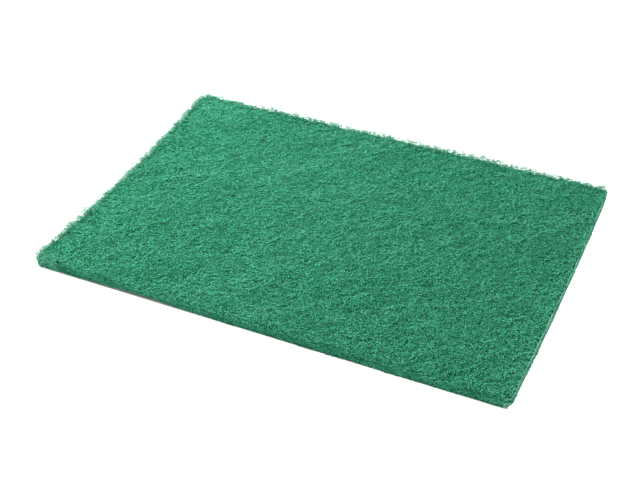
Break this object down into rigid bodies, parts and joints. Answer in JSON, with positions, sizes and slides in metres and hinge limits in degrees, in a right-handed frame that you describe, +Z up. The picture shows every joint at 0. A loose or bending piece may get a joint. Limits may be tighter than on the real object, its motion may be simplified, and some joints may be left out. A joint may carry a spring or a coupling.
{
  "type": "nylon scouring pad",
  "caption": "Flat rectangular scouring pad of non-woven green nylon fibre web, with a tufted surface, ragged cut edges and rounded corners, for scrubbing dishes and worktops.",
  "frame": {"origin": "middle of the underside, on the surface that the pad lies on", "axes": "+X along the pad's length, away from its drawn-in end; +Y across its width, from the trimmed front edge to the ragged back edge; +Z up through its thickness"},
  "size_m": [0.2293, 0.1624, 0.0071],
  "materials": {
    "nylon_web": "matt crimped nylon fibres bonded with green resin, lighter on the strands and darker in the pores"
  },
  "bodies": {
    "root": {"scouring_pad": "nylon_web"}
  },
  "joints": []
}
